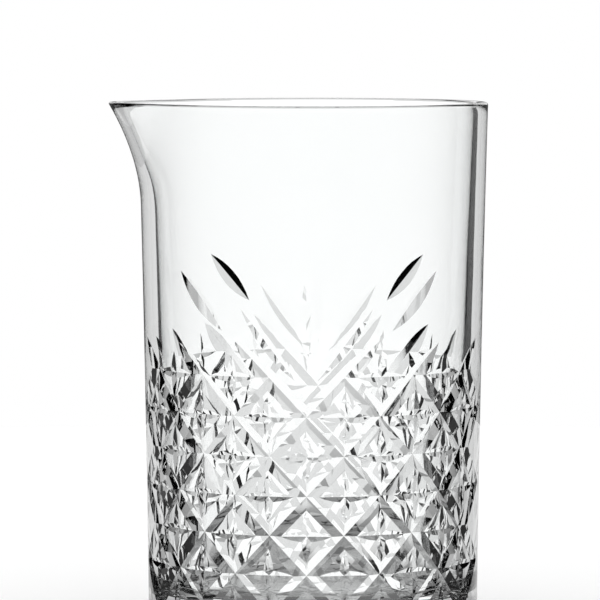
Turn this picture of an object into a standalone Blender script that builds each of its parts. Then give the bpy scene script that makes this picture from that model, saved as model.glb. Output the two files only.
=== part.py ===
"""A pressed mixing glass: one piece of clear glass with a pouring spout.

The wall carries a lattice of V grooves with a four-pointed star cut in each diamond. A fan of leaf cuts
rises out of the lattice at the front and at the back. The lattice ends in a zigzag on either side, and leaves
a plain strip of wall under the spout and another across from it.

The glass stands on z = 0 with its axis on the Z axis. The spout points to -X and the two fans face -Y and
+Y. The pattern is drawn on the unrolled wall, as (s, z) in millimetres: s runs round the wall from the
front fan, and one column of the lattice is COLUMN_WIDTH long. Each half of the wall mirrors about its fan,
so a quarter of the wall is drawn and meshed for each fan and then mirrored.
"""

import math

import bmesh
import bpy
import numpy as np
from mathutils import Vector
from mathutils.geometry import delaunay_2d_cdt

MM = 0.001

# The vessel, in millimetres.
HEIGHT = 150.0
RIM_RADIUS = 48.5
FOOT_RADIUS = 45.75
STRAIGHT_SHARE = 0.45  # share of the flare that is a straight taper, the rest opens towards the rim
RIM_WALL = 3.8
BASE_WALL = 6.0
FLOOR_HEIGHT = 14.0
FLOOR_CORNER = 6.0
HEEL_RADIUS = 3.0
RIM_OUTER_ROUND = 0.7
RIM_INNER_ROUND = 0.9

# The spout.
SPOUT_REACH = 8.8
SPOUT_START = 122.0
SPOUT_POWER = 1.85
SPOUT_HALF_ANGLE = math.radians(46.0)
SPOUT_PINCH = 4.0
SPOUT_THINNING = 0.7

# The lattice. Rows are counted from the lowest row of crossings, and steps are half columns.
COLUMNS = 14
COLUMN_WIDTH = 20.8
STEPS = COLUMNS // 4 * 2 + 1  # half columns from the fan to the spout
LAST_STEP = STEPS - 1  # the lattice ends here in a zigzag
TOP_ROW = 6
LOWEST_ROW_HEIGHT = 13.1
ROW_PITCH = 10.7
GROOVE_HALF_WIDTH = 2.45
CUT_SLOPE = math.tan(math.radians(25.0))
STAR_HALF_WIDTH = 1.2
OPEN_ARM_SHARE = 0.8  # length of a star's arm where no crossing closes its diamond
LOWER_RUN_OUT = 0.5  # steps that a groove runs past the lowest row, narrowing to a tip
LEAF_RUN_OUT = 0.78  # the same past the top row, and for the two arms of the fan
FAN_ARM_RUN_OUT = 0.95
HALFWAY_WIDTH = 0.8  # width halfway along that run, as a share of the full width

# The fans: leaf cuts as (column, height) of the lower and the upper tip, their half width and their slope
# in degrees. The outer leaf of the back fan stands a little closer in than the front fan's.
PETALS = (
    ((0.15, 76.6), (0.86, 95.6), 1.6, 25.0),
    ((0.0, 79.0), (0.0, 105.5), 1.4, 25.0),
)
FRONT_LEAVES = PETALS + (((1.13, 89.5), (1.82, 105.2), 2.2, 29.0),)
BACK_LEAVES = PETALS + (((1.05, 91.5), (1.72, 105.2), 2.2, 29.0),)
LEAF_SHARES = (0.0, 0.2, 0.5, 0.8, 1.0)

# The mesh.
BAND_BOTTOM = 6.0
BAND_TOP = 108.0
PLAIN_ROWS = (84.0, 90.0, 96.0, 102.0)
PLAIN_COLUMN_STEP = 0.25
PLAIN_MARGIN = 1.2
SPOUT_COLUMNS = (3.125, 3.375)  # extra columns where the spout bends most
OUTER_ROWS = (116.0, 122.0, 128.0, 133.0, 138.0, 142.5, 146.5)
INNER_ROWS = (146.5, 142.5, 138.0, 133.0, 128.0, 122.0, 114.0, 86.0, 58.0, 36.0)
HEEL_SEGMENTS = 3
FLOOR_SEGMENTS = 5
ROUND_SEGMENTS = 2
SHARP_ANGLE = math.radians(12)
SAME = 1e-6  # millimetres, or shares of a length, that make no difference
CREASE_MATCH = 1e-4  # millimetres of depth within which two grooves meet in a crease
WELD = 1e-6  # metres between corners that become one

GLASS_COLOUR = (0.93, 0.95, 0.95, 1.0)
GLASS_IOR = 1.5
GLASS_ROUGHNESS = 0.01

QUARTER = STEPS * COLUMN_WIDTH / 2
INSIDE_EDGES = 1  # the triangulation's output type that keeps the triangles inside the outline


def outer_radius(z):
    """Radius of the outer wall before anything is cut into it."""
    t = np.asarray(z) / HEIGHT
    flare = STRAIGHT_SHARE * t + (1 - STRAIGHT_SHARE) * t * t
    return FOOT_RADIUS + (RIM_RADIUS - FOOT_RADIUS) * flare


def inner_radius(z):
    """Radius of the bore: the wall grows thicker from the rim to the base."""
    return outer_radius(z) - (RIM_WALL + (BASE_WALL - RIM_WALL) * (1 - np.asarray(z) / HEIGHT))


def spout_push(angle, z):
    """How far the spout pushes the wall outwards, as a share of its reach. Its middle is at -90 degrees."""
    off = abs(math.remainder(angle + math.pi / 2, math.tau))
    rise = max(0.0, (z - SPOUT_START) / (HEIGHT - SPOUT_START)) ** SPOUT_POWER
    side = math.cos(math.pi / 2 * min(1.0, off / SPOUT_HALF_ANGLE)) ** SPOUT_PINCH
    return rise * side


def wall_point(angle, radius, z, inner):
    """A point of a plain wall, in millimetres, with the spout's push. The lip thins towards its tip."""
    push = spout_push(angle, z)
    pushed = radius + push * (SPOUT_REACH + (SPOUT_THINNING if inner else 0.0))
    return (pushed * math.sin(angle), -pushed * math.cos(angle), z)


class Cut:
    """A V groove along a straight line of the unrolled wall.

    profile holds (share of the length, half width) pairs. Each stop is a point and a normal: the groove
    stops at the line through the point and is kept on the side that the normal points to.
    """

    def __init__(self, start, end, profile, stops=(), slope=CUT_SLOPE):
        self.start = np.array(start, float)
        self.end = np.array(end, float)
        run = self.end - self.start
        self.length = math.hypot(*run)
        self.along = run / self.length
        self.across = np.array((-self.along[1], self.along[0]))
        self.shares = [share for share, _ in profile]
        self.halves = [half for _, half in profile]
        self.stops = stops
        self.slope = slope

    def holds(self, points):
        """True where none of its stops has ended the groove."""
        held = np.ones(len(points), bool)
        for point, normal in self.stops:
            held &= (points - point) @ normal > -SAME
        return held

    def depth(self, points, widened=0.0):
        offset = points - self.start
        share = offset @ self.along / self.length
        spare = widened / self.length
        half = np.interp(share, self.shares, self.halves)
        inside = (share > self.shares[0] - spare) & (share < self.shares[-1] + spare)
        depth = (half + widened - abs(offset @ self.across)) * self.slope
        return np.where(inside & self.holds(points), np.maximum(depth, 0.0), 0.0)

    def point(self, share, side):
        half = np.interp(share, self.shares, self.halves)
        return self.start + self.along * share * self.length + self.across * side * half

    def line(self, side):
        """The groove's bottom where side is 0, or its left or right border where side is 1 or -1."""
        points = [self.point(share, side) for share in self.shares]
        return list(zip(points[:-1], points[1:]))


def node(step, row):
    """Where grooves cross: steps are half columns from the fan, rows count up from the lowest one."""
    return np.array((step * COLUMN_WIDTH / 2, LOWEST_ROW_HEIGHT + row * ROW_PITCH))


def lattice_groove(start, end, run_in, run_out, stops=()):
    """A groove from node to node. It narrows to a tip over run_in and run_out steps past its end nodes."""
    step = (node(*end) - node(*start)) / (end[1] - start[1])
    first = node(*start) - step * run_in
    last = node(*end) + step * run_out
    steps = end[1] - start[1] + run_in + run_out
    profile = [(run_in / steps, GROOVE_HALF_WIDTH), (1 - run_out / steps, GROOVE_HALF_WIDTH)]
    halfway = GROOVE_HALF_WIDTH * HALFWAY_WIDTH
    if run_in:
        profile = [(0.0, 0.0), (run_in / steps / 2, halfway)] + profile
    if run_out:
        profile += [(1 - run_out / steps / 2, halfway), (1.0, 0.0)]
    return Cut(first, last, profile, stops)


def outward_grooves():
    """Grooves that climb away from the fan: to a leaf's tip above the top row, or to the zigzag's corner."""
    grooves = []
    for foot in range(1 - TOP_ROW, LAST_STEP, 2):
        low = max(0, -foot - 1)
        high = min(TOP_ROW, LAST_STEP - foot)
        run_in = LOWER_RUN_OUT if low == 0 else 0.0
        if high == TOP_ROW:
            run_out = FAN_ARM_RUN_OUT if foot + TOP_ROW == 1 else LEAF_RUN_OUT
            grooves.append(lattice_groove((foot + low, low), (foot + high, high), run_in, run_out))
        else:
            corner = (node(LAST_STEP, high), np.array((0.0, -1.0)))
            past = (LAST_STEP + 1, high + 1)
            grooves.append(lattice_groove((foot + low, low), past, run_in, 0.0, [corner]))
    return grooves


def inward_grooves():
    """Grooves that climb towards the fan. Each ends in the bottom of the outward groove at the top row."""
    away = node(1, 1) - node(0, 0)
    below = np.array((away[1], -away[0])) / math.hypot(*away)
    grooves = []
    for total in range(1, LAST_STEP + TOP_ROW, 2):
        low = max(0, total - LAST_STEP - 1)
        high = min(TOP_ROW + 1, total + 1)
        stops = []
        if total > TOP_ROW:
            stops.append((node(total - TOP_ROW, TOP_ROW), below))
        if total > LAST_STEP:
            stops.append((node(LAST_STEP, total - LAST_STEP), np.array((0.0, 1.0))))
        run_in = LOWER_RUN_OUT if total < LAST_STEP else 0.0
        grooves.append(lattice_groove((total - low, low), (total - high, high), run_in, 0.0, stops))
    return grooves


def star_arms(step, row):
    """Two crossed lens cuts in one diamond, from corner to corner of the land between the grooves."""
    slant = math.hypot(COLUMN_WIDTH / 2, ROW_PITCH)
    middle = node(step, row)
    reach_s = COLUMN_WIDTH / 2 - GROOVE_HALF_WIDTH * slant / ROW_PITCH
    reach_z = ROW_PITCH - GROOVE_HALF_WIDTH * slant / (COLUMN_WIDTH / 2)
    up = reach_z * (OPEN_ARM_SHARE if row == TOP_ROW else 1.0)
    down = reach_z * (LOWER_RUN_OUT if row == 0 else 1.0)
    level = Cut(middle - (reach_s, 0), middle + (reach_s, 0), lens_profile(0.5, STAR_HALF_WIDTH))
    upright = Cut(
        middle - (0, down), middle + (0, up), lens_profile(down / (down + up), STAR_HALF_WIDTH)
    )
    return [level, upright]


def lens_profile(middle, half_width):
    """A straight-sided lens, widest at the given share of its length."""
    return [(0.0, 0.0), (middle, half_width), (1.0, 0.0)]


def stars():
    cuts = []
    for row in range(TOP_ROW + 1):
        for step in range(LAST_STEP):
            under_fan = step == 0 and row == TOP_ROW
            if (step + row) % 2 == 0 and not under_fan:
                cuts += star_arms(step, row)
    return cuts


def fan_leaves(leaves):
    """Leaf cuts with rounded sides, as a parabola through a few points."""
    cuts = []
    for low, high, half_width, slope in leaves:
        profile = [(share, half_width * (1 - (2 * share - 1) ** 2)) for share in LEAF_SHARES]
        ends = [(column * COLUMN_WIDTH, height) for column, height in (low, high)]
        cuts.append(Cut(ends[0], ends[1], profile, slope=math.tan(math.radians(slope))))
    return cuts


def deepest(cuts, points, widened=0.0):
    return np.max([cut.depth(points, widened) for cut in cuts], axis=0)


def crossing(first, second):
    """Where two segments cross, or None."""
    a, b = first
    c, d = second
    run, other = b - a, d - c
    area = run[0] * other[1] - run[1] * other[0]
    if abs(area) < SAME:
        return None
    along = ((c - a)[0] * other[1] - (c - a)[1] * other[0]) / area
    across = ((c - a)[0] * run[1] - (c - a)[1] * run[0]) / area
    if min(along, across) < -SAME or max(along, across) > 1 + SAME:
        return None
    return a + run * along


def mitres(first, second):
    """The creases between two crossing grooves, from the crossing of their bottoms to their borders'."""
    bottoms = [crossing(a, b) for a in first.line(0) for b in second.line(0)]
    bottoms = [point for point in bottoms if point is not None]
    if not bottoms:
        return []
    corners = [
        crossing(a, b)
        for side in (1, -1)
        for a in first.line(side)
        for other in (1, -1)
        for b in second.line(other)
    ]
    return [(bottoms[0], corner) for corner in corners if corner is not None]


def split(segment, others):
    """The pieces of a segment between its crossings with the others."""
    start, end = segment
    length = math.hypot(*(end - start))
    cuts = {0.0, 1.0}
    for other in others:
        point = crossing(segment, other)
        if point is not None:
            cuts.add(round(math.hypot(*(point - start)) / length, 9))
    stops = sorted(cuts)
    return [
        (start + (end - start) * a, start + (end - start) * b)
        for a, b in zip(stops[:-1], stops[1:])
        if (b - a) * length > CREASE_MATCH
    ]


def creases(cuts):
    """Every edge that the cut surface has on the unrolled quarter, split where edges cross."""
    marked = []
    for cut in cuts:
        marked += [(segment, [cut], True) for segment in cut.line(0)]
        marked += [(segment, [cut], False) for side in (1, -1) for segment in cut.line(side)]
    for index, first in enumerate(cuts):
        for second in cuts[index + 1 :]:
            marked += [(segment, [first, second], True) for segment in mitres(first, second)]
    sides = quarter_sides()
    lines = [segment for segment, _, _ in marked] + sides
    found = [piece for side in sides for piece in split(side, lines)]
    for segment, owners, sunk in marked:
        for piece in split(segment, lines):
            if is_crease(piece, owners, sunk, cuts):
                found.append(piece)
    return found


def is_crease(piece, owners, sunk, cuts):
    """False where another groove has cut the edge away, or where the edge is outside the quarter."""
    middle = (piece[0] + piece[1])[None] / 2
    s, z = middle[0]
    if not (-SAME < s < QUARTER + SAME and BAND_BOTTOM - SAME < z < BAND_TOP + SAME):
        return False
    depth = deepest(cuts, middle)[0]
    if not sunk:
        return depth < SAME and owners[0].holds(middle)[0]
    return all(abs(owner.depth(middle)[0] - depth) < CREASE_MATCH for owner in owners)


def quarter_sides():
    corners = [(0, BAND_BOTTOM), (QUARTER, BAND_BOTTOM), (QUARTER, BAND_TOP), (0, BAND_TOP)]
    corners = [np.array(corner, float) for corner in corners]
    return list(zip(corners, corners[1:] + corners[:1]))


def plain_columns():
    """Columns where the plain wall has its vertices, from the fan to the spout."""
    count = round(STEPS / 2 / PLAIN_COLUMN_STEP)
    return sorted([index * PLAIN_COLUMN_STEP for index in range(count + 1)] + list(SPOUT_COLUMNS))


def plain_points(cuts):
    """Points that keep the uncut wall round: along the band's ends, and above the lattice."""
    ends = [(column * COLUMN_WIDTH, z) for column in plain_columns() for z in (BAND_BOTTOM, BAND_TOP)]
    inner = np.array([(column * COLUMN_WIDTH, z) for column in plain_columns() for z in PLAIN_ROWS])
    inner = inner[deepest(cuts, inner, PLAIN_MARGIN) < SAME]
    return [np.array(point) for point in ends] + list(inner)


def pattern_quarter(leaves):
    """Vertices (s, z, depth) and triangles of the cut band, from a fan to its side."""
    cuts = outward_grooves() + inward_grooves() + stars() + fan_leaves(leaves)
    points, edges = [], []
    for start, end in creases(cuts):
        edges.append((len(points), len(points) + 1))
        points += [start, end]
    points += plain_points(cuts)
    vectors = [Vector(point) for point in points]
    flat, _, triangles, *_ = delaunay_2d_cdt(vectors, edges, [], INSIDE_EDGES, CREASE_MATCH)
    flat = np.array([tuple(point) for point in flat])
    depth = deepest(cuts, flat)
    return np.column_stack((flat, depth)), [tuple(face) for face in triangles]


def add_faces(bm, points, faces):
    vertices = [bm.verts.new(Vector(point) * MM) for point in points]
    for face in faces:
        bm.faces.new([vertices[index] for index in face])


def add_band(bm):
    """The cut band: a quarter for each fan, mirrored about the fan."""
    for front, leaves in ((1, FRONT_LEAVES), (-1, BACK_LEAVES)):
        quarter, triangles = pattern_quarter(leaves)
        angles = quarter[:, 0] / COLUMN_WIDTH * math.tau / COLUMNS
        radii = outer_radius(quarter[:, 1]) - quarter[:, 2]
        across, forward = radii * np.sin(angles), radii * np.cos(angles)
        for side in (1, -1):
            points = np.column_stack((across * side, -forward * front, quarter[:, 1]))
            turned = side * front < 0
            add_faces(bm, points, [face[::-1] if turned else face for face in triangles])


def round_corner(middle_r, middle_z, radius, start, end, segments):
    """Points (radius, height) along an arc, its angles in degrees from the outward direction."""
    found = []
    for index in range(segments + 1):
        angle = math.radians(start + (end - start) * index / segments)
        found.append((middle_r + radius * math.cos(angle), middle_z + radius * math.sin(angle)))
    return found


def rim_and_bore():
    """The turned profile from the top of the band over the rim and down to the middle of the floor."""
    outer = [(float(outer_radius(z)), z) for z in (BAND_TOP,) + OUTER_ROWS]
    outer_corner = round_corner(
        RIM_RADIUS - RIM_OUTER_ROUND, HEIGHT - RIM_OUTER_ROUND, RIM_OUTER_ROUND, 0, 90, ROUND_SEGMENTS
    )
    bore = RIM_RADIUS - RIM_WALL
    inner_corner = round_corner(
        bore + RIM_INNER_ROUND, HEIGHT - RIM_INNER_ROUND, RIM_INNER_ROUND, 90, 180, ROUND_SEGMENTS
    )
    inner = [(float(inner_radius(z)), z) for z in INNER_ROWS]
    turn = FLOOR_HEIGHT + FLOOR_CORNER
    floor_corner = round_corner(
        float(inner_radius(turn)) - FLOOR_CORNER, turn, FLOOR_CORNER, 0, -90, FLOOR_SEGMENTS
    )
    return outer + outer_corner, inner_corner + inner + floor_corner


def heel():
    """The turned profile from the bottom of the band round the heel to the underside."""
    corner = FOOT_RADIUS - HEEL_RADIUS
    arc = round_corner(corner, HEEL_RADIUS, HEEL_RADIUS, 0, -90, HEEL_SEGMENTS)
    return [(float(outer_radius(BAND_BOTTOM)), BAND_BOTTOM)] + arc


def full_circle():
    """Angles of the plain wall's columns, all the way round from the front fan towards +X."""
    quarter = [column * math.tau / COLUMNS for column in plain_columns()]
    half = quarter + [math.pi - angle for angle in quarter[-2::-1]]
    return half + [math.tau - angle for angle in half[-2:0:-1]]


def add_turned(bm, rings, downwards):
    """Quads between rings of points. The faces point outwards when the rings run upwards outside."""
    count = len(rings[0])
    for low, high in zip(rings[:-1], rings[1:]):
        points = low + high
        faces = []
        for index in range(count):
            after = (index + 1) % count
            face = (index, after, count + after, count + index)
            faces.append(face[::-1] if downwards else face)
        add_faces(bm, points, faces)


def build_vessel():
    bm = bmesh.new()
    add_band(bm)
    angles = full_circle()
    outside, inside = rim_and_bore()
    rings = [[wall_point(angle, r, z, False) for angle in angles] for r, z in outside]
    rings += [[wall_point(angle, r, z, True) for angle in angles] for r, z in inside]
    add_turned(bm, rings, False)
    add_faces(bm, rings[-1], [tuple(range(len(angles)))])
    foot = [[wall_point(angle, r, z, False) for angle in angles] for r, z in heel()]
    add_turned(bm, foot, True)
    add_faces(bm, foot[-1], [tuple(range(len(angles)))[::-1]])
    bmesh.ops.remove_doubles(bm, verts=bm.verts, dist=WELD)
    bmesh.ops.triangulate(bm, faces=[face for face in bm.faces if len(face.verts) > 4])
    bmesh.ops.recalc_face_normals(bm, faces=bm.faces)
    mesh = bpy.data.meshes.new("vessel")
    bm.to_mesh(mesh)
    bm.free()
    mesh.shade_smooth()
    mesh.set_sharp_from_angle(angle=SHARP_ANGLE)
    return mesh


def clear_glass():
    material = bpy.data.materials.new("clear_glass")
    material.use_nodes = True
    shader = material.node_tree.nodes["Principled BSDF"]
    shader.inputs["Base Color"].default_value = GLASS_COLOUR
    shader.inputs["Roughness"].default_value = GLASS_ROUGHNESS
    shader.inputs["Metallic"].default_value = 0.0
    shader.inputs["IOR"].default_value = GLASS_IOR
    shader.inputs["Transmission Weight"].default_value = 1.0
    return material


def main():
    for obj in list(bpy.data.objects):
        bpy.data.objects.remove(obj, do_unlink=True)
    vessel = bpy.data.objects.new("vessel", build_vessel())
    vessel.data.materials.append(clear_glass())
    bpy.context.collection.objects.link(vessel)


main()
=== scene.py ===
"""The looks of the pressed mixing glass: its finely cut surface, its clear glass and a bright-field studio.

The wall's pattern is drawn on the unrolled wall, as (s, z) in millimetres: s runs round the wall from the
front fan towards the side across from the spout. A quarter of the wall is drawn for each fan, and mirrored.
"""

import math

import bmesh
import bpy
import numpy as np
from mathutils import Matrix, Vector
from mathutils.geometry import delaunay_2d_cdt


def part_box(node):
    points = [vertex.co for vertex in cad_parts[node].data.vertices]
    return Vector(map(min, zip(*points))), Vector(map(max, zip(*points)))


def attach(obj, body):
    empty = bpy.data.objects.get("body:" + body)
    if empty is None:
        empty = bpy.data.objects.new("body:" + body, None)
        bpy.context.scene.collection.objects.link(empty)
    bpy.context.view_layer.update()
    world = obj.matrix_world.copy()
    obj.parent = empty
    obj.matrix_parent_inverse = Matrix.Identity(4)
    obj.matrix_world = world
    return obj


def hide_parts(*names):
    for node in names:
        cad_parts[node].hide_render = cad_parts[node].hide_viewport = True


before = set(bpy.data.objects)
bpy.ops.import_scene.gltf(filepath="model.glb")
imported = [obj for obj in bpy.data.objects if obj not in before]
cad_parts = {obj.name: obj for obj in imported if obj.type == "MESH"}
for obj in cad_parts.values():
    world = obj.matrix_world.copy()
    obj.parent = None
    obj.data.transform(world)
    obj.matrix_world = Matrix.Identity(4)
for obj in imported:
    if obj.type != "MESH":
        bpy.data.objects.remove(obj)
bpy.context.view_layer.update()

MM = 0.001

# The vessel, in millimetres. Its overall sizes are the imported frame's.
LOWEST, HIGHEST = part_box("vessel")
HEIGHT = (HIGHEST.z - LOWEST.z) / MM
RIM_RADIUS = (HIGHEST.y - LOWEST.y) / 2 / MM
SPOUT_REACH = -LOWEST.x / MM - RIM_RADIUS
FOOT_RADIUS = 45.75
STRAIGHT_SHARE = 0.45
RIM_WALL = 3.8
BASE_WALL = 6.0
FLOOR_HEIGHT = 14.0
FLOOR_CORNER = 6.0
HEEL_RADIUS = 3.0
RIM_OUTER_ROUND = 0.7
RIM_INNER_ROUND = 0.9
RIM_SEGMENTS = 6
FLOOR_SEGMENTS = 16
HEEL_SEGMENTS = 8
DISC_SHARES = (0.75, 0.5, 0.25)  # rings on the floor and on the underside, as shares of the outermost

# The spout.
SPOUT_START = 122.0
SPOUT_POWER = 1.85
SPOUT_HALF_ANGLE = math.radians(46.0)
SPOUT_PINCH = 4.0
SPOUT_THINNING = 0.7

# The lattice. Rows are counted from the lowest row of crossings, and steps are half columns.
COLUMNS = 14
COLUMN_WIDTH = 20.8
STEPS = COLUMNS // 4 * 2 + 1
LAST_STEP = STEPS - 1  # the lattice ends here in a zigzag, and leaves a plain strip on the spout's side
TOP_ROW = 6
LOWEST_ROW_HEIGHT = 13.1
ROW_PITCH = 10.7
GROOVE_HALF_WIDTH = 2.45
CUT_SLOPE = math.tan(math.radians(25.0))
STAR_HALF_WIDTH = 1.4
STAR_POWER = 2.2
LEAF_POWER = 2.0
OPEN_ARM_SHARE = 0.8  # how much of its length a star's arm keeps above the top row
LOWER_RUN_OUT = 0.5  # steps by which a groove runs on below the lowest row
LEAF_RUN_OUT = 0.78  # the same above the top row, and for the two arms of the fan
FAN_ARM_RUN_OUT = 0.95
TAPER_START = 0.1  # share of a run-out over which the groove keeps its full width

# The fans: leaf cuts as (column, height) of the lower and the upper tip, their half width and their slope
# in degrees. The outer leaf of the back fan stands a little closer in than the front fan's.
PETALS = (
    ((0.15, 76.6), (0.86, 95.6), 1.6, 25.0),
    ((0.0, 79.0), (0.0, 105.5), 1.4, 25.0),
)
FRONT_LEAVES = PETALS + (((1.13, 89.5), (1.82, 105.2), 2.2, 29.0),)
BACK_LEAVES = PETALS + (((1.05, 91.5), (1.72, 105.2), 2.2, 29.0),)

# The mesh, finer than the CAD's. The cut band lies between two heights, and the rest is turned.
BAND_BOTTOM = 6.0
BAND_TOP = 108.0
QUARTER = STEPS * COLUMN_WIDTH / 2
COLUMN_STEP = 1 / 16  # columns between the plain wall's vertices
GRID_PITCH = 2.0
GRID_MARGIN = 0.5  # share of the pitch that the grid keeps free round an edge
GRID_STAGGER = 0.5  # how far every second row of the grid is shifted
EDGE_LENGTH = 1.4
SHORT_CUT = 3 * ROW_PITCH  # longest cut whose outline has CURVE_POINTS points
CURVE_POINTS = 9
MITRE_POINTS = 41
RING_PITCH = 2.0
SHARP_ANGLE = math.radians(12)
SAME = 1e-6  # millimetres, or shares of a length, that make no difference
CREASE_MATCH = 1e-4  # millimetres within which the points of two edges are one
SIDE_MATCH = 2e-3  # millimetres from a quarter's side within which a point lies on it
CUT_AWAY = 0.02  # millimetres of depth at which another groove has taken an edge away
WELD = 1e-6  # metres between corners that become one
INSIDE_EDGES = 1  # the triangulation fills the outline of the edges

# The glass.
IOR = 1.5
TINTS = ((0.955, 0.965, 0.963, 1), (0.975, 0.98, 0.98, 1))
TINT_SCALE = 30.0
ROUGHEST = 0.02
WAVE_SCALE = 70.0
WAVE_DETAIL = 1.0
WAVE_HEIGHT = 0.00002

# The camera, in metres: far away with a long lens, a little to the right of the front fan.
VIEW_AZIMUTH = math.radians(2.2)
VIEW_DISTANCE = 1.204
VIEW_HEIGHT = 0.181
AIM_HEIGHT = 0.095
AIM_LEFT = 0.0036
LENS = 260.5
SENSOR = 36.0
FARTHEST = 50.0

# The studio. Azimuths are in degrees from +Y towards +X, and windows are given as (middle, half width).
WINDOW = (-6.0, 35.5)
REST_OF_WALLS = (180.0, 100.0)  # lit only for what passes straight through the glass
WINDOW_SOFTNESS = 0.7
WINDOW_TOP = (20.0, 26.0)  # elevations where the windows begin to fade and where they end
WINDOW_LIGHT = 1.23
WINDOW_IN_SHEEN = 0.1  # share of the studio's light that the glass reflects from its outside
WINDOW_AFTER_REFLECTION = 0.7  # share of its light that reaches rays reflected inside the glass
SHEEN_HORIZON = (1.0, 3.0)  # elevations between which the share rises to the whole
STUDIO_DARK = 0.015
FLOOR_RADIUS = 0.6
FLOOR_CORNERS = 96
FLOOR_GAP = 0.0002
FLOOR_ROUGHNESS = 0.8
FLOOR_LIGHT = 1.1
FLOOR_PALE = 0.95
# The floor's painted glow, seen only through the glass: a painted shadow under the glass and painted light
# in a sector.
FLOOR_GLOW_WITH_PAINTED_SHADOW = (0.23, 0.7)  # under the glass, a painted shadow, and away from it
FLOOR_SHADE_ENDS = (0.04, 0.13)  # metres from the axis over which the painted shadow lifts
LIGHT_FLOOR = (180.0, 138.0)  # painted light: where the floor glows lighter for what passes straight through the glass
LIGHT_FLOOR_GAIN = 0.42
FLOOR_AFTER_REFLECTION = 0.7  # share of the floor's painted glow that reaches rays reflected inside the glass
FLOOR_SHEEN = 0.23
MOST_BOUNCES = 24
MOST_REFLECTIONS = 6


def outer_radius(z):
    """Radius of the outer wall before anything is cut into it."""
    t = np.asarray(z) / HEIGHT
    flare = STRAIGHT_SHARE * t + (1 - STRAIGHT_SHARE) * t * t
    return FOOT_RADIUS + (RIM_RADIUS - FOOT_RADIUS) * flare


def inner_radius(z):
    """Radius of the bore: the wall grows thicker from the rim to the base."""
    return outer_radius(z) - (RIM_WALL + (BASE_WALL - RIM_WALL) * (1 - np.asarray(z) / HEIGHT))


def spout_push(angle, z):
    """How far the spout pushes the wall outwards, as a share of its reach. Its middle is at -90 degrees."""
    off = abs(math.remainder(angle + math.pi / 2, math.tau))
    rise = max(0.0, (z - SPOUT_START) / (HEIGHT - SPOUT_START)) ** SPOUT_POWER
    side = math.cos(math.pi / 2 * min(1.0, off / SPOUT_HALF_ANGLE)) ** SPOUT_PINCH
    return rise * side


def wall_point(angle, radius, z, inner):
    """A point of a plain wall, in millimetres, with the spout's push. The lip thins towards its tip."""
    push = spout_push(angle, z)
    pushed = radius + push * (SPOUT_REACH + (SPOUT_THINNING if inner else 0.0))
    return (pushed * math.sin(angle), -pushed * math.cos(angle), z)


class Cut:
    """A V groove along a straight line of the unrolled wall.

    width gives the half width at a share of the length. Each stop is a point and a normal: the groove stops
    at the line through the point and is kept on the side that the normal points to.
    """

    def __init__(self, start, end, width, stops=(), slope=CUT_SLOPE):
        self.start = np.array(start, float)
        self.end = np.array(end, float)
        run = self.end - self.start
        self.length = math.hypot(*run)
        self.along = run / self.length
        self.across = np.array((-self.along[1], self.along[0]))
        self.width = width
        self.stops = stops
        self.slope = slope

    def holds(self, points):
        """True where none of its stops has ended the groove."""
        held = np.ones(len(points), bool)
        for point, normal in self.stops:
            held &= (points - point) @ normal > -SAME
        return held

    def depth(self, points, widened=0.0):
        offset = points - self.start
        share = offset @ self.along / self.length
        spare = widened / self.length
        half = self.width(np.clip(share, 0, 1))
        inside = (share > -spare) & (share < 1 + spare)
        depth = (half + widened - abs(offset @ self.across)) * self.slope
        return np.where(inside & self.holds(points), np.maximum(depth, 0.0), 0.0)

    def line(self, side, marks):
        """The groove's bottom where side is 0, or its left or right border where side is 1 or -1."""
        half = self.width(marks)
        points = self.start + np.outer(marks * self.length, self.along) + np.outer(side * half, self.across)
        return np.stack((points[:-1], points[1:]), axis=1)


def node(step, row):
    """Where grooves cross: steps are half columns from the fan, rows count up from the lowest one."""
    return np.array((step * COLUMN_WIDTH / 2, LOWEST_ROW_HEIGHT + row * ROW_PITCH))


def groove_width(steps, run_in, run_out):
    """The half width along a groove that narrows to a leaf's tip over its first and last steps."""

    def taper(distance, run):
        if not run:
            return 1.0
        reach = np.clip((run * (1 - TAPER_START) - distance) / (run * (1 - TAPER_START)), 0, 1)
        return 1 - reach**2

    def width(share):
        at = np.asarray(share) * steps
        return GROOVE_HALF_WIDTH * taper(at, run_in) * taper(steps - at, run_out)

    return width


def lattice_groove(start, end, run_in, run_out, stops=()):
    """A groove from node to node. It narrows to a tip over run_in and run_out steps past its end nodes."""
    step = (node(*end) - node(*start)) / (end[1] - start[1])
    first = node(*start) - step * run_in
    last = node(*end) + step * run_out
    steps = end[1] - start[1] + run_in + run_out
    return Cut(first, last, groove_width(steps, run_in, run_out), stops)


def outward_grooves():
    """Grooves that climb away from the fan: to a leaf's tip above the top row, or to the zigzag's corner."""
    grooves = []
    for foot in range(1 - TOP_ROW, LAST_STEP, 2):
        low = max(0, -foot - 1)
        high = min(TOP_ROW, LAST_STEP - foot)
        run_in = LOWER_RUN_OUT if low == 0 else 0.0
        if high == TOP_ROW:
            run_out = FAN_ARM_RUN_OUT if foot + TOP_ROW == 1 else LEAF_RUN_OUT
            grooves.append(lattice_groove((foot + low, low), (foot + high, high), run_in, run_out))
        else:
            corner = (node(LAST_STEP, high), np.array((0.0, -1.0)))
            past = (LAST_STEP + 1, high + 1)
            grooves.append(lattice_groove((foot + low, low), past, run_in, 0.0, [corner]))
    return grooves


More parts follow.
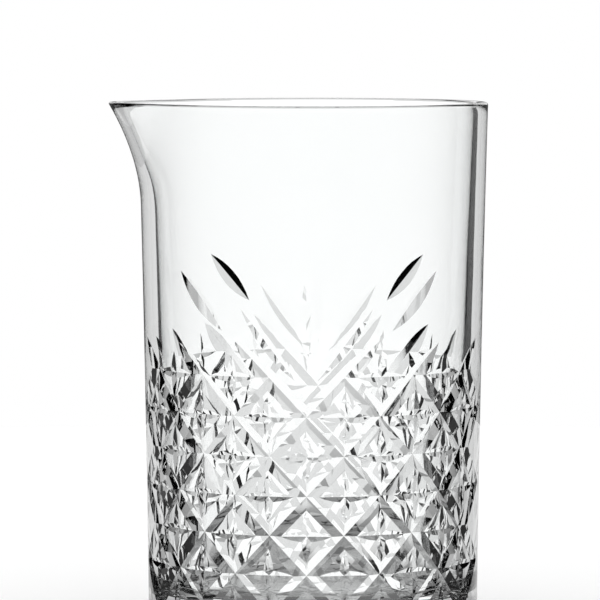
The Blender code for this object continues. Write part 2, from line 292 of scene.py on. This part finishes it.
def inward_grooves():
    """Grooves that climb towards the fan. Each ends in the bottom of the outward groove at the top row."""
    away = node(1, 1) - node(0, 0)
    below = np.array((away[1], -away[0])) / math.hypot(*away)
    grooves = []
    for total in range(1, LAST_STEP + TOP_ROW, 2):
        low = max(0, total - LAST_STEP - 1)
        high = min(TOP_ROW + 1, total + 1)
        stops = []
        if total > TOP_ROW:
            stops.append((node(total - TOP_ROW, TOP_ROW), below))
        if total > LAST_STEP:
            stops.append((node(LAST_STEP, total - LAST_STEP), np.array((0.0, 1.0))))
        run_in = LOWER_RUN_OUT if total < LAST_STEP else 0.0
        grooves.append(lattice_groove((total - low, low), (total - high, high), run_in, 0.0, stops))
    return grooves


def lens_width(half_width, middle, power):
    """The half width along a lens cut, widest at its middle, with convex sides."""

    def width(share):
        share = np.asarray(share)
        off = np.where(share < middle, (middle - share) / middle, (share - middle) / (1 - middle))
        return half_width * (1 - off**power)

    return width


def star_arms(step, row):
    """Two crossed lens cuts in one diamond, from corner to corner of the land between the grooves."""
    slant = math.hypot(COLUMN_WIDTH / 2, ROW_PITCH)
    middle = node(step, row)
    reach = COLUMN_WIDTH / 2 - GROOVE_HALF_WIDTH * slant / ROW_PITCH
    rise = ROW_PITCH - GROOVE_HALF_WIDTH * slant / (COLUMN_WIDTH / 2)
    up = rise * (OPEN_ARM_SHARE if row == TOP_ROW else 1.0)
    down = rise * (LOWER_RUN_OUT if row == 0 else 1.0)
    share = down / (down + up)
    level = Cut(middle - (reach, 0), middle + (reach, 0), lens_width(STAR_HALF_WIDTH, 0.5, STAR_POWER))
    upright = Cut(middle - (0, down), middle + (0, up), lens_width(STAR_HALF_WIDTH, share, STAR_POWER))
    return [level, upright]


def stars():
    cuts = []
    for row in range(TOP_ROW + 1):
        for step in range(LAST_STEP):
            under_fan = step == 0 and row == TOP_ROW
            if (step + row) % 2 == 0 and not under_fan:
                cuts += star_arms(step, row)
    return cuts


def fan_leaves(leaves):
    """Leaf cuts with rounded sides."""
    cuts = []
    for low, high, half_width, slope in leaves:
        ends = [(column * COLUMN_WIDTH, height) for column, height in (low, high)]
        width = lens_width(half_width, 0.5, LEAF_POWER)
        cuts.append(Cut(ends[0], ends[1], width, slope=math.tan(math.radians(slope))))
    return cuts


def deepest(cuts, points, widened=0.0):
    return np.max([cut.depth(points, widened) for cut in cuts], axis=0)


def crossings(segment, others):
    """Where one segment crosses each of the others: shares of its length, without those that miss."""
    a, b = segment
    c, d = others[:, 0], others[:, 1]
    run, other = b - a, d - c
    area = run[0] * other[:, 1] - run[1] * other[:, 0]
    area = np.where(abs(area) < SAME, np.nan, area)
    along = ((c - a)[:, 0] * other[:, 1] - (c - a)[:, 1] * other[:, 0]) / area
    across = ((c - a)[:, 0] * run[1] - (c - a)[:, 1] * run[0]) / area
    hit = (along > -SAME) & (along < 1 + SAME) & (across > -SAME) & (across < 1 + SAME)
    return along[hit]


def mitres(first, second, marks):
    """The creases between two crossing grooves, from the crossing of their bottoms to their borders'."""
    bottom = Cut.line(first, 0, np.array((0.0, 1.0)))[0]
    shares = crossings(bottom, second.line(0, np.array((0.0, 1.0))))
    if not len(shares):
        return []
    middle = bottom[0] + (bottom[1] - bottom[0]) * shares[0]
    found = []
    for side in (1, -1):
        for other in (1, -1):
            borders = second.line(other, marks)
            for border in first.line(side, marks):
                for share in crossings(border, borders):
                    found.append((middle, border[0] + (border[1] - border[0]) * share))
    return found


def split(segment, others):
    """The pieces of a segment between its crossings with the others, none longer than EDGE_LENGTH."""
    start, end = segment
    length = math.hypot(*(end - start))
    pieces = []
    stops = sorted({0.0, 1.0} | set(np.round(crossings(segment, others), 9)))
    for a, b in zip(stops[:-1], stops[1:]):
        if (b - a) * length > CREASE_MATCH:
            count = max(1, round((b - a) * length / EDGE_LENGTH))
            marks = start + np.outer(np.linspace(a, b, count + 1), end - start)
            pieces += list(zip(marks[:-1], marks[1:]))
    return pieces


def marks_of(cut):
    """Shares of a cut's length where its outline has points: close together where it curves."""
    count = CURVE_POINTS if cut.length < SHORT_CUT else round(cut.length / GRID_PITCH)
    return np.linspace(0, 1, count)


def creases(cuts):
    """Every edge that the cut surface has on the unrolled quarter, split where edges cross."""
    marked = []
    for cut in cuts:
        marks = marks_of(cut)
        marked += [(segment, [cut], True) for segment in cut.line(0, np.array((0.0, 1.0)))]
        marked += [(segment, [cut], False) for side in (1, -1) for segment in cut.line(side, marks)]
    for index, first in enumerate(cuts):
        for second in cuts[index + 1 :]:
            marks = np.linspace(0, 1, MITRE_POINTS)
            marked += [(segment, [first, second], True) for segment in mitres(first, second, marks)]
    sides = quarter_sides()
    lines = np.array([segment for segment, _, _ in marked] + sides)
    found = [piece for side in sides for piece in split(side, lines)] + quarter_ends()
    for segment, owners, sunk in marked:
        pieces = split(segment, lines)
        if pieces:
            keep = are_creases(np.array(pieces), owners, sunk, cuts)
            found += [piece for piece, kept in zip(pieces, keep) if kept]
    return found


def are_creases(pieces, owners, sunk, cuts):
    """False where another groove has cut the edge away, or where the edge is outside the quarter."""
    middle = pieces.mean(axis=1)
    s, z = middle.T
    keep = (s > -SAME) & (s < QUARTER + SAME) & (z > BAND_BOTTOM - SAME) & (z < BAND_TOP + SAME)
    depth = deepest(cuts, middle)
    if not sunk:
        return keep & (depth < CUT_AWAY) & owners[0].holds(middle)
    for owner in owners:
        keep &= abs(owner.depth(middle) - depth) < CUT_AWAY
    return keep


def quarter_sides():
    """The fan's middle and the side's, where the quarters meet."""
    return [np.array([(s, BAND_BOTTOM), (s, BAND_TOP)], float) for s in (0, QUARTER)]


def quarter_ends():
    """The band's lower and upper borders, in pieces that match the plain wall's columns."""
    pieces = []
    for z in (BAND_BOTTOM, BAND_TOP):
        marks = [np.array((column * COLUMN_WIDTH, z)) for column in columns()]
        pieces += list(zip(marks[:-1], marks[1:]))
    return pieces


def columns():
    """Columns where the plain wall has its vertices, from the fan to the spout."""
    count = round(STEPS / 2 / COLUMN_STEP)
    return [index * COLUMN_STEP for index in range(count + 1)]


def plain_points(found):
    """Points that keep the wall round between the edges."""
    rows = round((BAND_TOP - BAND_BOTTOM) / GRID_PITCH)
    heights = np.linspace(BAND_BOTTOM, BAND_TOP, rows + 1)[1:-1]
    places = np.arange(0, QUARTER + SAME, COLUMN_WIDTH * COLUMN_STEP)
    shifts = [index % 2 * GRID_STAGGER for index in range(len(heights))]
    inner = np.array([(s + shift, z) for shift, z in zip(shifts, heights) for s in places[1:-1]])
    marks = np.array(found).mean(axis=1)
    near = np.array([np.min(np.hypot(*(marks - point).T)) for point in inner])
    return list(inner[near > GRID_MARGIN * GRID_PITCH])


def pattern_quarter(leaves):
    """Vertices (s, z, depth) and triangles of the cut band, from a fan to its side."""
    cuts = outward_grooves() + inward_grooves() + stars() + fan_leaves(leaves)
    found = creases(cuts)
    points, edges = [], []
    for start, end in found:
        edges.append((len(points), len(points) + 1))
        points += [start, end]
    points += plain_points(found)
    vectors = [Vector(point) for point in points]
    flat, _, triangles, *_ = delaunay_2d_cdt(vectors, edges, [], INSIDE_EDGES, CREASE_MATCH)
    flat = np.array([tuple(point) for point in flat])
    slivers = np.zeros(len(triangles), bool)
    for side in (0, QUARTER):
        on_side = abs(flat[:, 0] - side) < SIDE_MATCH
        flat[on_side, 0] = side
        slivers |= on_side[np.array(triangles)].all(axis=1)
    depth = deepest(cuts, flat)
    faces = [tuple(face) for face, sliver in zip(triangles, slivers) if not sliver]
    return np.column_stack((flat, depth)), faces


def add_faces(bm, points, faces):
    vertices = [bm.verts.new(Vector(point) * MM) for point in points]
    for face in faces:
        bm.faces.new([vertices[index] for index in face])


def add_band(bm):
    """The cut band: a quarter for each fan, mirrored about the fan."""
    for front, leaves in ((1, FRONT_LEAVES), (-1, BACK_LEAVES)):
        quarter, triangles = pattern_quarter(leaves)
        angles = quarter[:, 0] / COLUMN_WIDTH * math.tau / COLUMNS
        radii = outer_radius(quarter[:, 1]) - quarter[:, 2]
        across, forward = radii * np.sin(angles), radii * np.cos(angles)
        for side in (1, -1):
            points = np.column_stack((across * side, -forward * front, quarter[:, 1]))
            turned = side * front < 0
            add_faces(bm, points, [face[::-1] if turned else face for face in triangles])


def round_corner(middle_r, middle_z, radius, start, end, segments):
    """Points (radius, height) along an arc, its angles in degrees from the outward direction."""
    found = []
    for index in range(segments + 1):
        angle = math.radians(start + (end - start) * index / segments)
        found.append((middle_r + radius * math.cos(angle), middle_z + radius * math.sin(angle)))
    return found


def heights_between(low, high):
    count = max(1, round(abs(high - low) / RING_PITCH))
    return [low + (high - low) * index / count for index in range(count + 1)]


def rim_and_bore():
    """The turned profile from the top of the band over the rim and down to the middle of the floor."""
    outer_turn = HEIGHT - RIM_OUTER_ROUND
    outer = [(float(outer_radius(z)), z) for z in heights_between(BAND_TOP, outer_turn)[:-1]]
    outer += round_corner(RIM_RADIUS - RIM_OUTER_ROUND, outer_turn, RIM_OUTER_ROUND, 0, 90, RIM_SEGMENTS)
    inner_turn = HEIGHT - RIM_INNER_ROUND
    bore = RIM_RADIUS - RIM_WALL
    inner = round_corner(bore + RIM_INNER_ROUND, inner_turn, RIM_INNER_ROUND, 90, 180, RIM_SEGMENTS)
    turn = FLOOR_HEIGHT + FLOOR_CORNER
    inner += [(float(inner_radius(z)), z) for z in heights_between(inner_turn, turn)[1:-1]]
    corner = float(inner_radius(turn)) - FLOOR_CORNER
    inner += round_corner(corner, turn, FLOOR_CORNER, 0, -90, FLOOR_SEGMENTS)
    inner += [(corner * share, FLOOR_HEIGHT) for share in DISC_SHARES]
    return outer, inner


def heel():
    """The turned profile from the bottom of the band round the heel to the underside."""
    corner = FOOT_RADIUS - HEEL_RADIUS
    start = [(float(outer_radius(z)), z) for z in heights_between(BAND_BOTTOM, HEEL_RADIUS)[:-1]]
    arc = round_corner(corner, HEEL_RADIUS, HEEL_RADIUS, 0, -90, HEEL_SEGMENTS)
    return start + arc + [(corner * share, 0.0) for share in DISC_SHARES]


def full_circle():
    """Angles of the plain wall's columns, all the way round from the front fan towards +X."""
    quarter = [column * math.tau / COLUMNS for column in columns()]
    half = quarter + [math.pi - angle for angle in quarter[-2::-1]]
    return half + [math.tau - angle for angle in half[-2:0:-1]]


def add_turned(bm, rings, downwards):
    """Quads between rings of points. The faces point outwards when the rings run upwards outside."""
    count = len(rings[0])
    for low, high in zip(rings[:-1], rings[1:]):
        points = low + high
        faces = []
        for index in range(count):
            after = (index + 1) % count
            face = (index, after, count + after, count + index)
            faces.append(face[::-1] if downwards else face)
        add_faces(bm, points, faces)


def build_vessel():
    bm = bmesh.new()
    add_band(bm)
    angles = full_circle()
    outside, inside = rim_and_bore()
    rings = [[wall_point(angle, r, z, False) for angle in angles] for r, z in outside]
    rings += [[wall_point(angle, r, z, True) for angle in angles] for r, z in inside]
    add_turned(bm, rings, False)
    add_faces(bm, rings[-1], [tuple(range(len(angles)))])
    foot = [[wall_point(angle, r, z, False) for angle in angles] for r, z in heel()]
    add_turned(bm, foot, True)
    add_faces(bm, foot[-1], [tuple(range(len(angles)))[::-1]])
    bmesh.ops.remove_doubles(bm, verts=bm.verts, dist=WELD)
    bmesh.ops.recalc_face_normals(bm, faces=bm.faces)
    mesh = bpy.data.meshes.new("mixing_glass")
    bm.to_mesh(mesh)
    bm.free()
    mesh.shade_smooth()
    mesh.set_sharp_from_angle(angle=SHARP_ANGLE)
    return mesh


def clear_glass():
    """Clear pressed glass: faint waves and a faint change of tint through its thickness."""
    material = bpy.data.materials.new("clear_glass")
    material.use_nodes = True
    nodes, links = material.node_tree.nodes, material.node_tree.links
    shader = nodes["Principled BSDF"]
    shader.inputs["IOR"].default_value = IOR
    shader.inputs["Transmission Weight"].default_value = 1.0
    shader.inputs["Metallic"].default_value = 0.0
    place = nodes.new("ShaderNodeTexCoord")
    tint = nodes.new("ShaderNodeTexNoise")
    tint.inputs["Scale"].default_value = TINT_SCALE
    ramp = nodes.new("ShaderNodeValToRGB")
    for element, colour in zip(ramp.color_ramp.elements, TINTS):
        element.color = colour
    links.new(place.outputs["Object"], tint.inputs["Vector"])
    links.new(tint.outputs["Fac"], ramp.inputs["Fac"])
    links.new(ramp.outputs["Color"], shader.inputs["Base Color"])
    rough = nodes.new("ShaderNodeMapRange")
    rough.inputs["To Min"].default_value = 0.0
    rough.inputs["To Max"].default_value = ROUGHEST
    links.new(tint.outputs["Fac"], rough.inputs["Value"])
    links.new(rough.outputs["Result"], shader.inputs["Roughness"])
    waves = nodes.new("ShaderNodeTexNoise")
    waves.inputs["Scale"].default_value = WAVE_SCALE
    waves.inputs["Detail"].default_value = WAVE_DETAIL
    links.new(place.outputs["Object"], waves.inputs["Vector"])
    bump = nodes.new("ShaderNodeBump")
    bump.inputs["Strength"].default_value = 1.0
    bump.inputs["Distance"].default_value = WAVE_HEIGHT
    links.new(waves.outputs["Fac"], bump.inputs["Height"])
    links.new(bump.outputs["Normal"], shader.inputs["Normal"])
    return material


def add_object(name, mesh, material):
    obj = bpy.data.objects.new(name, mesh)
    obj.data.materials.append(material)
    bpy.context.scene.collection.objects.link(obj)
    return obj


def math_node(tree, operation, first, second=None, clamped=False):
    """A maths node's output. Its operands are numbers or other nodes' outputs."""
    made = tree.nodes.new("ShaderNodeMath")
    made.operation = operation
    made.use_clamp = clamped
    for socket, value in zip(made.inputs, (first, second)):
        if isinstance(value, bpy.types.NodeSocket):
            tree.links.new(value, socket)
        elif value is not None:
            socket.default_value = value
    return made.outputs[0]


def fade(tree, value, full, none):
    """1 where value is below full, falling smoothly to 0 at none. Both are in degrees, value in radians."""
    made = tree.nodes.new("ShaderNodeMapRange")
    made.interpolation_type = "SMOOTHSTEP"
    tree.links.new(value, made.inputs["Value"])
    made.inputs["From Min"].default_value = math.radians(full)
    made.inputs["From Max"].default_value = math.radians(none)
    made.inputs["To Min"].default_value = 1.0
    made.inputs["To Max"].default_value = 0.0
    return made.outputs["Result"]


def window(tree, azimuth, middle, half):
    """1 within half of the middle azimuth and 0 outside, with a soft edge. Both are in degrees."""
    turned = math_node(tree, "SUBTRACT", azimuth, math.radians(middle))
    wrapped = math_node(tree, "PINGPONG", math_node(tree, "ABSOLUTE", turned), math.pi)
    return fade(tree, wrapped, half - WINDOW_SOFTNESS, half + WINDOW_SOFTNESS)


def blend(tree, share, first, second):
    """First where share is 0 and second where it is 1. Both are numbers or other nodes' outputs."""
    made = tree.nodes.new("ShaderNodeMix")
    tree.links.new(share, made.inputs["Factor"])
    for socket, value in (("A", first), ("B", second)):
        if isinstance(value, bpy.types.NodeSocket):
            tree.links.new(value, made.inputs[socket])
        else:
            made.inputs[socket].default_value = value
    return made.outputs["Result"]


def straight_through(tree):
    """1 for a ray that has passed through the glass without a reflection inside it, and 0 for others."""
    ray = tree.nodes.new("ShaderNodeLightPath")
    through = math_node(tree, "GREATER_THAN", ray.outputs["Transmission Depth"], 0.5)
    return math_node(tree, "SUBTRACT", through, ray.outputs["Glossy Depth"], clamped=True)


def azimuth_and_height(tree, place):
    """The azimuth and the elevation of a direction, in radians. A place has its azimuth round the axis."""
    axes = tree.nodes.new("ShaderNodeSeparateXYZ")
    tree.links.new(place, axes.inputs["Vector"])
    azimuth = math_node(tree, "ARCTAN2", axes.outputs["X"], axes.outputs["Y"])
    return azimuth, math_node(tree, "ARCSINE", axes.outputs["Z"])


def for_straight_rays(tree, azimuth, sector):
    """1 for straight rays within a sector, given as its middle and half width in degrees."""
    return math_node(tree, "MULTIPLY", window(tree, azimuth, *sector), straight_through(tree))


def add_world():
    """A white window behind the glass in a dark studio. Only the glass sees it: the backdrop is plain."""
    world = bpy.data.worlds.new("studio")
    world.use_nodes = True
    tree = world.node_tree
    place = tree.nodes.new("ShaderNodeTexCoord")
    azimuth, height = azimuth_and_height(tree, place.outputs["Generated"])
    ray = tree.nodes.new("ShaderNodeLightPath")
    passed = ray.outputs["Transmission Depth"]
    reflected = math_node(tree, "MINIMUM", ray.outputs["Glossy Depth"], passed, clamped=True)
    dimmer = blend(tree, reflected, 1.0, WINDOW_AFTER_REFLECTION)
    main_window = math_node(tree, "MULTIPLY", window(tree, azimuth, *WINDOW), dimmer)
    walls = for_straight_rays(tree, azimuth, REST_OF_WALLS)
    lit = math_node(tree, "MAXIMUM", main_window, walls)
    lit = math_node(tree, "MULTIPLY", lit, fade(tree, height, *WINDOW_TOP))
    studio = blend(tree, lit, STUDIO_DARK, WINDOW_LIGHT)
    share = blend(tree, fade(tree, height, *SHEEN_HORIZON), 1.0, WINDOW_IN_SHEEN)
    sheen = math_node(tree, "MULTIPLY", studio, share)
    outside = math_node(tree, "SUBTRACT", ray.outputs["Is Reflection Ray"], passed, clamped=True)
    studio = blend(tree, outside, studio, sheen)
    studio = blend(tree, ray.outputs["Is Diffuse Ray"], studio, FLOOR_LIGHT)
    studio = blend(tree, ray.outputs["Is Camera Ray"], studio, 1.0)
    background = tree.nodes["Background"]
    tree.links.new(studio, background.inputs["Strength"])
    background.inputs["Color"].default_value = (1, 1, 1, 1)
    bpy.context.scene.world = world


def painted_floor_glow(tree):
    """The floor's painted glow for what the glass shows of it: a painted shadow under the glass, painted
    light in a sector behind it for straight rays, and darker after reflections.
    """
    place = tree.nodes.new("ShaderNodeTexCoord")
    distance = tree.nodes.new("ShaderNodeVectorMath")
    distance.operation = "LENGTH"
    tree.links.new(place.outputs["Object"], distance.inputs[0])
    # Painted shadow: the glow is dimmer near the glass's axis.
    shade = tree.nodes.new("ShaderNodeMapRange")
    ends = zip(("From Min", "From Max", "To Min", "To Max"), FLOOR_SHADE_ENDS + FLOOR_GLOW_WITH_PAINTED_SHADOW)
    for name, value in ends:
        shade.inputs[name].default_value = value
    tree.links.new(distance.outputs["Value"], shade.inputs["Value"])
    azimuth, _ = azimuth_and_height(tree, place.outputs["Object"])
    # Painted light: a sector of the floor glows lighter for straight rays.
    gain = math_node(tree, "MULTIPLY", for_straight_rays(tree, azimuth, LIGHT_FLOOR), LIGHT_FLOOR_GAIN)
    share = math_node(tree, "ADD", gain, blend(tree, straight_through(tree), FLOOR_AFTER_REFLECTION, 1.0))
    return math_node(tree, "MULTIPLY", share, shade.outputs["Result"])


def pale_floor_with_painted_glow():
    """Plain and pale to the camera. Through the glass it is a painted glow, greyer, with a painted shadow
    under the glass, and mirrors some of the window.
    """
    material = bpy.data.materials.new("floor_white_with_painted_glow")
    material.use_nodes = True
    tree = material.node_tree
    shader = tree.nodes["Principled BSDF"]
    shader.inputs["Base Color"].default_value = (FLOOR_PALE, FLOOR_PALE, FLOOR_PALE, 1)
    shader.inputs["Roughness"].default_value = FLOOR_ROUGHNESS
    shader.inputs["Specular IOR Level"].default_value = 0.0
    # The floor glows for what the glass shows of it: painted light and painted shadow, not the studio's
    # light.
    painted_glow = tree.nodes.new("ShaderNodeEmission")
    tree.links.new(painted_floor_glow(tree), painted_glow.inputs["Strength"])
    sheen = tree.nodes.new("ShaderNodeBsdfGlossy")
    sheen.inputs["Roughness"].default_value = 0.0
    sheen.inputs["Color"].default_value = (FLOOR_SHEEN, FLOOR_SHEEN, FLOOR_SHEEN, 1)
    through = tree.nodes.new("ShaderNodeAddShader")
    tree.links.new(painted_glow.outputs["Emission"], through.inputs[0])
    tree.links.new(sheen.outputs["BSDF"], through.inputs[1])
    ray = tree.nodes.new("ShaderNodeLightPath")
    mixer = tree.nodes.new("ShaderNodeMixShader")
    tree.links.new(ray.outputs["Is Camera Ray"], mixer.inputs[0])
    tree.links.new(through.outputs["Shader"], mixer.inputs[1])
    tree.links.new(shader.outputs["BSDF"], mixer.inputs[2])
    tree.links.new(mixer.outputs["Shader"], tree.nodes["Material Output"].inputs["Surface"])
    return material


def add_floor():
    bm = bmesh.new()
    bmesh.ops.create_circle(bm, cap_ends=True, segments=FLOOR_CORNERS, radius=FLOOR_RADIUS)
    mesh = bpy.data.meshes.new("floor")
    bm.to_mesh(mesh)
    bm.free()
    floor = add_object("floor", mesh, pale_floor_with_painted_glow())
    floor.location.z = LOWEST.z - FLOOR_GAP


def add_camera():
    data = bpy.data.cameras.new("camera")
    data.lens = LENS
    data.sensor_width = SENSOR
    data.clip_end = FARTHEST
    camera = bpy.data.objects.new("camera", data)
    right = Vector((math.cos(VIEW_AZIMUTH), math.sin(VIEW_AZIMUTH), 0))
    back = Vector((math.sin(VIEW_AZIMUTH), -math.cos(VIEW_AZIMUTH), 0))
    camera.location = back * VIEW_DISTANCE + Vector((0, 0, VIEW_HEIGHT))
    aim = Vector((0, 0, AIM_HEIGHT)) - right * AIM_LEFT
    camera.rotation_euler = (aim - camera.location).to_track_quat("-Z", "Y").to_euler()
    bpy.context.scene.collection.objects.link(camera)
    bpy.context.scene.camera = camera


def main():
    vessel = add_object("mixing_glass", build_vessel(), clear_glass())
    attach(vessel, "root")
    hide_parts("vessel")
    add_floor()
    add_world()
    add_camera()
    scene = bpy.context.scene
    scene.view_settings.view_transform = "Standard"
    scene.cycles.max_bounces = MOST_BOUNCES
    scene.cycles.transmission_bounces = MOST_BOUNCES
    scene.cycles.glossy_bounces = MOST_REFLECTIONS


main()
